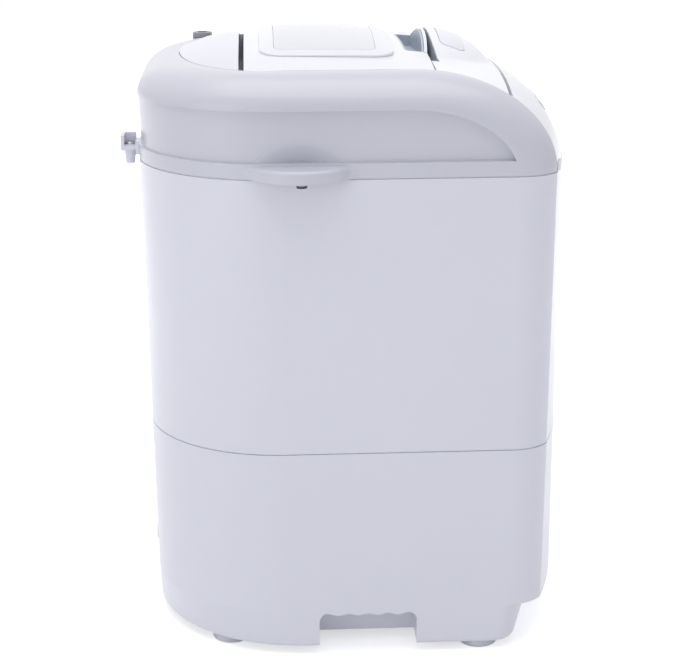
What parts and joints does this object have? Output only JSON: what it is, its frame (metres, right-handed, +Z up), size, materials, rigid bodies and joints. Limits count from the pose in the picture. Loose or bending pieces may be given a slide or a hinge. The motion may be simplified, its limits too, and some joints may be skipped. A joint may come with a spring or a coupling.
{
  "type": "mini washing machine",
  "caption": "Compact top-loading washing machine with a rounded top, windowed lid, side carry lips, hand grips and a sprung wash tub with spin basket and pulsator.",
  "frame": {"origin": "on the floor, below the middle of the outline from the front bulge to the hose hook", "axes": "+Z up, -Y to the user in front of the machine, +X to the side with the water inlet"},
  "size_m": [0.444, 0.444, 0.6085],
  "materials": {
    "shell_white": "glossy moulded plastic",
    "deck_white": "glossy moulded plastic",
    "lid_white": "glossy moulded plastic",
    "window_clear": "clear moulded plastic",
    "trim_grey": "satin grey plastic",
    "cap_white": "glossy moulded plastic",
    "lens_dark": "dark glossy lens",
    "key_grey": "satin plastic",
    "board_green": "coated circuit board",
    "inlet_grey": "satin grey plastic",
    "rubber_dark": "matt rubber",
    "foot_grey": "matt grey rubber",
    "screw_dark": "dark zinc",
    "steel": "brushed stainless steel",
    "tub_plastic": "moulded polypropylene",
    "ring_grey": "moulded plastic",
    "pulsator_blue": "glossy moulded plastic",
    "cast": "die-cast aluminium",
    "motor_paint": "black paint",
    "plate": "coated sheet steel",
    "pump_plastic": "moulded plastic",
    "can": "drawn aluminium can"
  },
  "bodies": {
    "cabinet": {"base_housing": "shell_white", "cabinet_shell": "shell_white", "base_plate": "tub_plastic", "foot_front_left": "foot_grey", "foot_front_right": "foot_grey", "foot_rear_left": "foot_grey", "foot_rear_right": "foot_grey", "foot_screws": "screw_dark", "lip_screws": "screw_dark", "top_frame": "shell_white", "rear_deck": "deck_white", "front_deck": "deck_white", "latch_plate": "trim_grey", "control_panel": "deck_white", "display_lens": "lens_dark", "control_board": "board_green", "water_inlet": "inlet_grey", "inlet_valve": "pump_plastic", "fill_spout": "tub_plastic", "hose_hook": "shell_white", "hook_screw": "screw_dark", "lid_rests": "rubber_dark", "suspension_rods": "steel", "drain_pump": "pump_plastic", "drain_outlet": "pump_plastic", "cord_gland": "rubber_dark", "capacitor": "can"},
    "lid_unit": {"lid": "lid_white", "window_bezel": "lid_white", "lid_window": "window_clear", "lid_grip": "trim_grey", "hinge_pin_left": "steel", "hinge_pin_right": "steel"},
    "release_button": {"release_cap": "cap_white"},
    "key_button_1": {"key_1": "key_grey"},
    "key_button_2": {"key_2": "key_grey"},
    "key_button_3": {"key_3": "key_grey"},
    "key_button_4": {"key_4": "key_grey"},
    "tub_unit": {"outer_tub": "tub_plastic", "tub_cover": "tub_plastic", "damper_cups": "pump_plastic", "gearcase": "cast", "bearings": "steel", "shaft_seal": "rubber_dark", "motor": "motor_paint", "motor_bracket": "plate", "drive_belt": "rubber_dark", "drain_bellows": "rubber_dark"},
    "basket": {"spin_basket": "steel", "balance_ring": "ring_grey", "basket_hub": "cast"},
    "agitator": {"pulsator": "pulsator_blue", "pulsator_cap": "pulsator_blue", "drive_shaft": "steel", "drive_pulley": "cast"},
    "motor_rotor": {"motor_shaft": "steel", "motor_pulley": "cast"}
  },
  "joints": [
    {"name": "lid_hinge", "type": "hinge", "parent": "cabinet", "child": "lid_unit", "pos_m": [0, 0.082, 0.586], "axis": [-1, 0, 0], "range_deg": [0, 90]},
    {"name": "release_press", "type": "slide", "parent": "cabinet", "child": "release_button", "axis": [0, 0, -1], "range_m": [0, 0.003], "stiffness_N_per_m": 400, "springref_m": -0.004},
    {"name": "tub_bounce", "type": "slide", "parent": "cabinet", "child": "tub_unit", "axis": [0, 0, 1], "range_m": [-0.012, 0.008], "stiffness_N_per_m": 6000, "springref_m": 0.0234, "deforming": ["drain_bellows"]},
    {"name": "basket_spin", "type": "hinge", "parent": "tub_unit", "child": "basket", "pos_m": [0, -0.0045, 0.3], "axis": [0, 0, 1], "continuous": true},
    {"name": "agitator_spin", "type": "hinge", "parent": "tub_unit", "child": "agitator", "pos_m": [0, -0.0045, 0.2], "axis": [0, 0, 1], "continuous": true},
    {"name": "motor_spin", "type": "hinge", "parent": "tub_unit", "child": "motor_rotor", "pos_m": [0, -0.1255, 0.1], "axis": [0, 0, 1], "continuous": true},
    {"name": "key_press_1", "type": "slide", "parent": "cabinet", "child": "key_button_1", "axis": [0, 0.8551, -0.5184], "range_m": [0, 0.0015], "stiffness_N_per_m": 600, "springref_m": -0.001},
    {"name": "key_press_2", "type": "slide", "parent": "cabinet", "child": "key_button_2", "axis": [0, 0.8551, -0.5184], "range_m": [0, 0.0015], "stiffness_N_per_m": 600, "springref_m": -0.001},
    {"name": "key_press_3", "type": "slide", "parent": "cabinet", "child": "key_button_3", "axis": [0, 0.8551, -0.5184], "range_m": [0, 0.0015], "stiffness_N_per_m": 600, "springref_m": -0.001},
    {"name": "key_press_4", "type": "slide", "parent": "cabinet", "child": "key_button_4", "axis": [0, 0.8551, -0.5184], "range_m": [0, 0.0015], "stiffness_N_per_m": 600, "springref_m": -0.001}
  ],
  "couplings": [
    {"joint": "motor_spin", "follows": "agitator_spin", "ratio": 3.8889}
  ]
}
